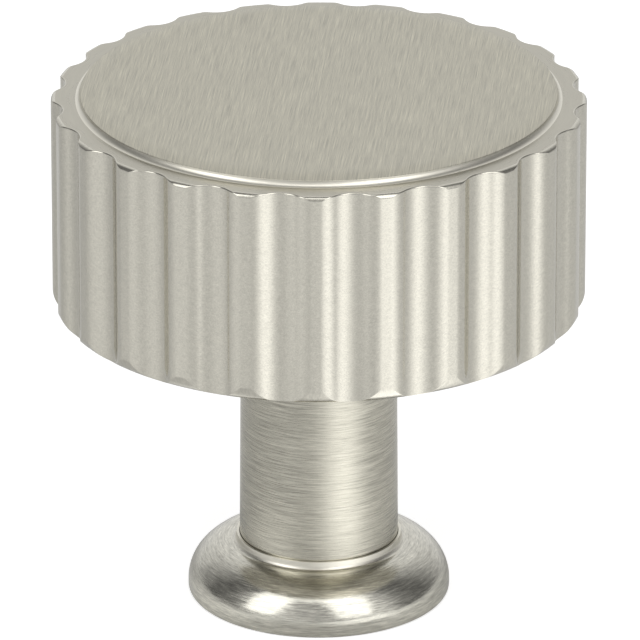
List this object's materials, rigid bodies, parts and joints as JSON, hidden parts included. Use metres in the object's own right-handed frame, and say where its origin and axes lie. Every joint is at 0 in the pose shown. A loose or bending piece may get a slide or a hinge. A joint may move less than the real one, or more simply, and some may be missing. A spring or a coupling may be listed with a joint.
{
  "type": "cabinet knob",
  "caption": "Fluted round cabinet knob in satin nickel: a drum head with a raised top disc, on a plain neck and a round-shouldered foot collar, tapped from below for a machine screw.",
  "frame": {"origin": "centre of the foot collar's flat underside, which sits on the face of the drawer or door", "axes": "+Z along the knob's axis, away from the drawer front; the flutes repeat about it"},
  "size_m": [0.0318, 0.0318, 0.0324],
  "materials": {
    "knob_finish": "satin nickel plate, brushed along the top disc and round the neck, fine satin on the flutes",
    "collar_finish": "nickel plate, brushed round the axis and glossier than the head"
  },
  "bodies": {
    "root": {"knob_body": "knob_finish", "foot_collar": "collar_finish"}
  },
  "joints": []
}
